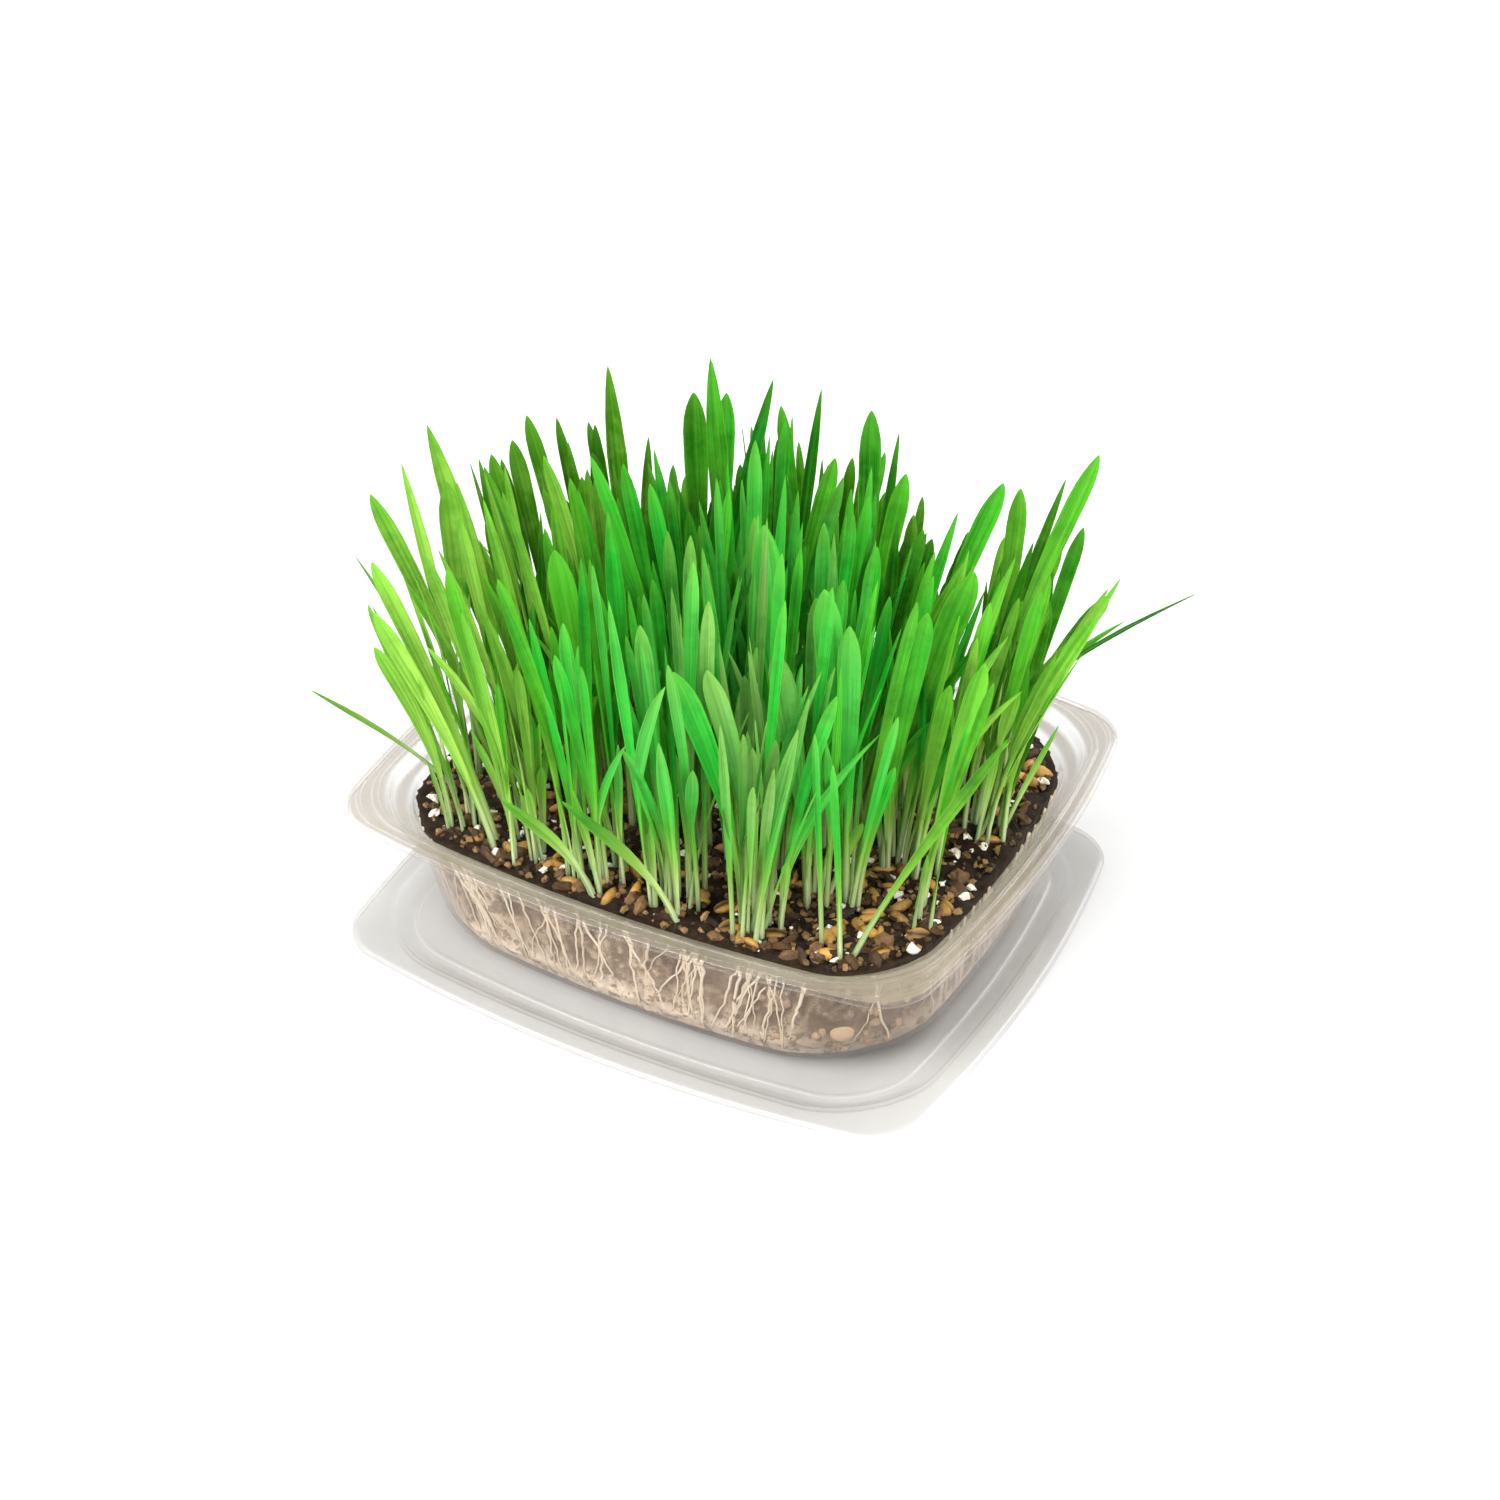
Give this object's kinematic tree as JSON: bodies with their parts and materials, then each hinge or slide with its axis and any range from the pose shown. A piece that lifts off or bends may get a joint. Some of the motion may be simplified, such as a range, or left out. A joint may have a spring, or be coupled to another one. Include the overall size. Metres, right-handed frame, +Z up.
{
  "type": "wheatgrass tray",
  "caption": "Wheatgrass growing densely from a bed of soil and sprouted grain in a clear, bowed rectangular plastic tub that stands on its own lid as a saucer.",
  "frame": {"origin": "middle of the lid's flat underside, on the table", "axes": "+Z up, X along the tub's long side, -Y towards the front"},
  "size_m": [0.206, 0.1664, 0.1484],
  "materials": {
    "clear_plastic": "clear glossy sheet",
    "soil_mix": "moist crumbly soil",
    "grass": "satin leaf"
  },
  "bodies": {
    "root": {"lid": "clear_plastic", "tub": "clear_plastic", "soil": "soil_mix", "tuft_01": "grass", "tuft_02": "grass", "tuft_03": "grass", "tuft_04": "grass", "tuft_05": "grass", "tuft_06": "grass", "tuft_07": "grass", "tuft_08": "grass", "tuft_09": "grass", "tuft_10": "grass", "tuft_11": "grass", "tuft_12": "grass", "tuft_13": "grass", "tuft_14": "grass", "tuft_15": "grass", "tuft_16": "grass", "tuft_17": "grass", "tuft_18": "grass", "tuft_19": "grass", "tuft_20": "grass", "tuft_21": "grass", "tuft_22": "grass", "tuft_23": "grass", "tuft_24": "grass", "tuft_25": "grass", "tuft_26": "grass", "tuft_27": "grass", "tuft_28": "grass", "tuft_29": "grass", "tuft_30": "grass", "tuft_31": "grass", "tuft_32": "grass", "tuft_33": "grass", "tuft_34": "grass", "tuft_35": "grass", "tuft_36": "grass", "tuft_37": "grass"}
  },
  "joints": []
}
